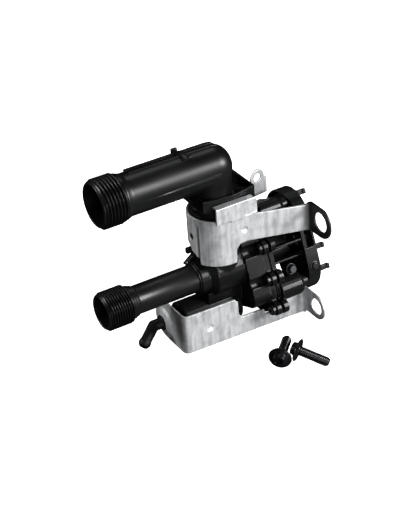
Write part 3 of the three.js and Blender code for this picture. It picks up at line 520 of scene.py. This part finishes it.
def upper_pipe():
    """The threaded pipe with its elbow, its leg into the tower, the ribs and the saddle clip."""
    front = 0.0
    end = front + THREAD_LEAD + G1["turns"] * G1["pitch"]
    profile = [
        (0.01, 80), (11.6, 80), (11.6, 20), (13.4, 17), (13.4, 0.4), (13.7, 0), (14.5, 0),
        (14.85, 0.25),
        *thread_rows(G1, front),
        (G1["root"] + 0.25, end + 0.2), (G1["root"] + 0.35, end + 1.2), (G1["root"] + 0.1, end + 1.8),
        (UPPER_RADIUS + 0.7, end + 2.6), (UPPER_RADIUS + 0.5, end + 3.4), (UPPER_RADIUS + 0.1, end + 4.6),
        (UPPER_RADIUS, end + 5.4), (UPPER_RADIUS, ELBOW_Y), (0.01, ELBOW_Y),
    ]
    pipe = turned(profile, ROUND, thread_shape(G1, front))
    steps = 24
    dome_rows = [(0.01, 0.0)]
    for k in range(steps + 1):
        t = math.sin(k / steps * math.pi / 2)
        radius = UPPER_RADIUS * max(0.0, 1 - t ** BEND_FULLNESS) ** (1 / BEND_FULLNESS)
        dome_rows.append((max(0.01, radius), UPPER_RADIUS * t))
    dome = placed(turned(dome_rows), Matrix.Translation((0, ELBOW_Y, 0)))
    leg_rows = [
        (0.01, UPPER_Z - 84), (11.4, UPPER_Z - 84), (11.7, UPPER_Z - 84.4), (11.7, UPPER_Z - 102.2),
        (12.8, UPPER_Z - 102.2), (13.0, UPPER_Z - 102.4), (13.0, UPPER_Z - 104),
        (13.6, UPPER_Z - 104.7), (UPPER_RADIUS, UPPER_Z - 105.6), (UPPER_RADIUS, 0), (0.01, 0),
    ]
    downward = Matrix.Rotation(-math.pi / 2, 4, "X")
    leg = placed(turned(leg_rows), Matrix.Translation((0, ELBOW_Y, 0)) @ downward)
    ribs = [softened_prism(rib_outline(top - UPPER_Z), x0, x1, 0.3) for x0, x1, top in PIPE_RIBS]
    front_y = SADDLE["front"]
    back_y = SADDLE["back"]
    saddle = [
        arc_band(SADDLE["from"], SADDLE["to"], UPPER_RADIUS - 1, SADDLE["radius"], front_y, back_y),
        softened_box((-11.4, front_y, 9.6), (-9.2, back_y, 14.9), 0.5),
        softened_box((4.0, front_y + 0.6, 11.6), (6.0, back_y + 2.6, 14.9), 0.6),
    ]
    return placed(joined(pipe, dome, leg, *ribs, *saddle), Matrix.Translation((0, 0, UPPER_Z)))


def lower_pipe():
    """The threaded pipe with its shoulder rings and the spigot that holds the O-ring."""
    front = LOWER_FRONT
    end = front + THREAD_LEAD + G34["turns"] * G34["pitch"]
    profile = [
        (0.01, 72), (6.4, 72), (6.4, front + 22), (10.0, front + 18), (10.0, front + 0.4), (10.3, front),
        (11.4, front), (11.76, front + 0.3),
        *thread_rows(G34, front),
        (11.9, end + 0.2), (11.3, end + 0.9), (11.3, end + 2.2), (11.0, end + 2.6), (10.6, end + 2.9),
        (10.6, end + 4.4), (10.3, end + 4.8), (9.9, end + 5.3), (LOWER_RADIUS, end + 5.9),
        (LOWER_RADIUS, 65.4), (9.9, 65.8), (10.8, 66.0), (11.0, 66.2), (11.0, 66.7), (10.8, 66.9),
        (9.1, 66.9), (9.1, 69), (7.3, 69), (7.3, 71.2), (9.1, 71.2), (9.1, 73.1), (0.01, 73.1),
    ]
    pipe = turned(profile, ROUND, thread_shape(G34, front))
    return placed(pipe, Matrix.Translation((0, 0, LOWER_Z)))


# ---------- screws, spring, nozzle ----------
def mounting_screw(place_head, heading, droop):
    """Flanged screw with a six-lobed recess and a rolled thread."""
    rows = list(SCREW_HEAD_ROWS)
    thread_start = len(rows)
    for k in range(SCREW_TURNS * SCREW_TURN_ROWS + 1):
        along = SCREW_THREAD["start"] + k * SCREW_PITCH / SCREW_TURN_ROWS
        rows.append((SCREW_THREAD["root"], along))
    thread_end = len(rows)
    rows.extend(SCREW_TIP_ROWS)

    def shape(row, radius, y, angle):
        if row in SCREW_RECESS_ROWS:
            return radius * (1 + SCREW_RECESS_DEPTH * math.cos(SCREW_RECESS_LOBES * angle))
        if thread_start <= row < thread_end:
            turn = (y - rows[thread_start][1]) / SCREW_PITCH + angle / (2 * math.pi)
            return radius + SCREW_THREAD["depth"] * (1 - abs(2 * (turn % 1.0) - 1))
        return radius

    matrix = (
        Matrix.Translation(place_head)
        @ Matrix.Rotation(math.radians(heading), 4, "Z")
        @ Matrix.Rotation(math.radians(-droop), 4, "X")
        @ Matrix.Translation((0, HEAD_SHIFT, 0))
    )
    return placed(turned(rows, SCREW_SEGMENTS, shape), matrix)


def coil(settings, per_turn=40, around=14):
    """The return spring: a round wire wound about +Y."""
    count = int(settings["turns"] * per_turn)
    length = settings["back"] - settings["front"] - 2 * settings["wire"]
    centres = []
    for k in range(count + 1):
        angle = 2 * math.pi * k / per_turn
        y = settings["front"] + settings["wire"] + length * k / count
        radius = settings["radius"]
        centres.append(Vector((radius * math.cos(angle), y, radius * math.sin(angle))))
    vertices = []
    for k, centre in enumerate(centres):
        angle = 2 * math.pi * k / per_turn
        outward = Vector((math.cos(angle), 0, math.sin(angle)))
        for j in range(around):
            turn = 2 * math.pi * j / around
            offset = outward * math.cos(turn) + Vector((0, 1, 0)) * math.sin(turn)
            vertices.append(centre + offset * settings["wire"] * 0.98)
    faces = grid_faces(len(centres), around)
    faces.append(tuple(range(around)))
    faces.append(tuple(range(len(vertices) - 1, len(vertices) - 1 - around, -1)))
    return placed((vertices, faces), Matrix.Translation((0, 0, LOWER_Z)))


def hose_nozzle():
    """A stub along Y, a round knee and a barb, turned about the stub to its resting place."""
    stub = turned(NOZZLE_STUB_ROWS, NOZZLE_SEGMENTS)
    knee_rows = []
    for k in range(21):
        angle = math.radians(-90 + 9 * k)
        knee_rows.append((max(0.01, NOZZLE_BARREL * math.cos(angle)), NOZZLE_BARREL * math.sin(angle)))
    knee = turned(knee_rows, NOZZLE_SEGMENTS)
    barb = turned(NOZZLE_BARB_ROWS, NOZZLE_SEGMENTS)
    bend = Matrix.Rotation(math.radians(180 + NOZZLE["bend"]), 4, "Z")
    at_knee = Matrix.Translation((0, NOZZLE["knee"], 0))
    whole = joined(stub, placed(knee, at_knee), placed(barb, at_knee @ bend))
    swivel = Matrix.Rotation(math.radians(NOZZLE["swivel"]), 4, "Y")
    return placed(whole, Matrix.Translation((NOZZLE["x"], 0, NOZZLE["z"])) @ swivel)


# ---------- CAD nodes that stay ----------
def paint(node, material):
    node.data.materials.clear()
    node.data.materials.append(material)


def moulded(name, voxel, rounds, material):
    """Rounds a CAD node's edges and corners with modifiers and gives it its material."""
    node = frame["nodes"][name]
    remesh = node.modifiers.new("rounding", "REMESH")
    remesh.mode = "VOXEL"
    remesh.voxel_size = voxel * MM
    remesh.use_smooth_shade = True
    relax = node.modifiers.new("relax", "SMOOTH")
    relax.factor = 0.5
    relax.iterations = rounds
    paint(node, material)


def bevelled(name, material):
    """Eases a CAD node's sharp edges with a bevel and gives it its material."""
    node = frame["nodes"][name]
    edge = node.modifiers.new("edge", "BEVEL")
    edge.width = EDGE_WIDTH * MM
    edge.segments = 2
    edge.limit_method = "ANGLE"
    edge.angle_limit = math.radians(EDGE_ANGLE)
    edge.harden_normals = True
    paint(node, material)


SLOTS = {entry["node"]: entry["material_slot"] for entry in frame["record"]["subparts"]}
# Voxel size in millimetres and rounds of smoothing for each CAD node with rounded edges.
MOULDED = {
    "valve_body": (0.4, 4),
    "rear_housing": (0.35, 3),
    "actuator_cup": (0.35, 3),
    "elbow_cap": (0.3, 3),
    "upper_bracket": (0.3, 3),
    "lower_bracket": (0.3, 3),
    "test_plug": (0.2, 3),
}
# Each new piece's mesh, the CAD node that it replaces and the body that it rides on.
NEW_PIECES = {
    "upper_pipe_piece": (upper_pipe(), "upper_elbow_pipe", "valve_housing"),
    "lower_pipe_piece": (lower_pipe(), "lower_pipe", "valve_housing"),
    "nozzle_piece": (hose_nozzle(), "hose_nozzle", "nozzle_set"),
    "spring_piece": (coil(SPRING), "return_spring", "valve_housing"),
    "screw_1_piece": (mounting_screw(*SCREWS["mounting_screw_1"]), "mounting_screw_1", "loose_screw_1"),
    "screw_2_piece": (mounting_screw(*SCREWS["mounting_screw_2"]), "mounting_screw_2", "loose_screw_2"),
}


def dress_object():
    replaced = set()
    for name, (part, node, body) in NEW_PIECES.items():
        slot = SLOTS[node]
        material = MATERIALS["matt"] if node == "hose_nozzle" else MATERIALS[slot]
        made = piece(name, part, material, body, node)
        replaced.add(node)
        if name == "spring_piece":
            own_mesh(made)
    for name in frame["nodes"]:
        if name in replaced:
            continue
        material = UPPER_BRACKET_STEEL if name == "upper_bracket" else MATERIALS[SLOTS[name]]
        if name in MOULDED:
            moulded(name, *MOULDED[name], material)
        else:
            bevelled(name, material)


# ---------- studio ----------
def camera():
    azimuth = math.radians(CAMERA_AZIMUTH)
    elevation = math.radians(CAMERA_ELEVATION)
    back = Vector((
        math.sin(azimuth) * math.cos(elevation),
        -math.cos(azimuth) * math.cos(elevation),
        math.sin(elevation),
    ))
    right = Vector((0, 0, 1)).cross(back).normalized()
    up = back.cross(right)
    rolled = Matrix.Rotation(math.radians(CAMERA_ROLL), 3, back)
    right = rolled @ right
    up = rolled @ up
    data = bpy.data.cameras.new("view")
    data.lens = CAMERA_LENS
    data.sensor_width = SENSOR
    data.sensor_fit = "AUTO"
    data.clip_start = 0.01
    data.clip_end = 20.0
    made = bpy.data.objects.new("view", data)
    rotation = Matrix((right, up, back)).transposed()
    made.matrix_world = Matrix.Translation(CAMERA_PLACE) @ rotation.to_4x4()
    bpy.context.collection.objects.link(made)
    bpy.context.scene.camera = made


def softbox(name, place_at, aim, size, power):
    data = bpy.data.lights.new(name, "AREA")
    data.shape = "RECTANGLE"
    data.size = size[0]
    data.size_y = size[1]
    data.energy = power
    made = bpy.data.objects.new(name, data)
    direction = Vector(aim) - Vector(place_at)
    made.matrix_world = (
        Matrix.Translation(place_at) @ direction.to_track_quat("-Z", "Y").to_matrix().to_4x4()
    )
    bpy.context.collection.objects.link(made)


def studio():
    world = bpy.data.worlds.new("room")
    world.use_nodes = True
    tree = world.node_tree
    background = tree.nodes["Background"]
    background.inputs["Color"].default_value = ROOM_TINT
    direction = tree.nodes.new("ShaderNodeTexCoord")
    towards = tree.nodes.new("ShaderNodeVectorMath")
    towards.operation = "DOT_PRODUCT"
    towards.inputs[1].default_value = PALE_SIDE
    spread = tree.nodes.new("ShaderNodeMapRange")
    spread.interpolation_type = "SMOOTHSTEP"
    spread.inputs["From Min"].default_value = ROOM_SPREAD[0]
    spread.inputs["From Max"].default_value = ROOM_SPREAD[1]
    spread.inputs["To Min"].default_value = ROOM_DARK
    spread.inputs["To Max"].default_value = ROOM_PALE
    tree.links.new(direction.outputs["Generated"], towards.inputs[0])
    tree.links.new(towards.outputs["Value"], spread.inputs["Value"])
    tree.links.new(spread.outputs["Result"], background.inputs["Strength"])
    bpy.context.scene.world = world
    mesh = bpy.data.meshes.new("floor")
    signs = [(-1, -1), (1, -1), (1, 1), (-1, 1)]
    corners = [(x * FLOOR_HALF, y * FLOOR_HALF, 0) for x, y in signs]
    mesh.from_pydata(corners, [], [(0, 1, 2, 3)])
    floor = bpy.data.objects.new("floor", mesh)
    floor.location.z = -FLOOR_DROP
    floor.data.materials.append(floor_paper("floor_paper"))
    bpy.context.collection.objects.link(floor)
    floor.visible_diffuse = False
    floor.visible_glossy = False
    floor.visible_shadow = False
    for name, (place_at, size, power) in SOFTBOXES.items():
        softbox(name, place_at, LIGHT_AIM, size, power)


bpy.context.scene.view_settings.view_transform = "Standard"
bpy.context.scene.view_settings.look = "Medium High Contrast"
camera()
studio()
dress_object()
bpy.context.view_layer.update()
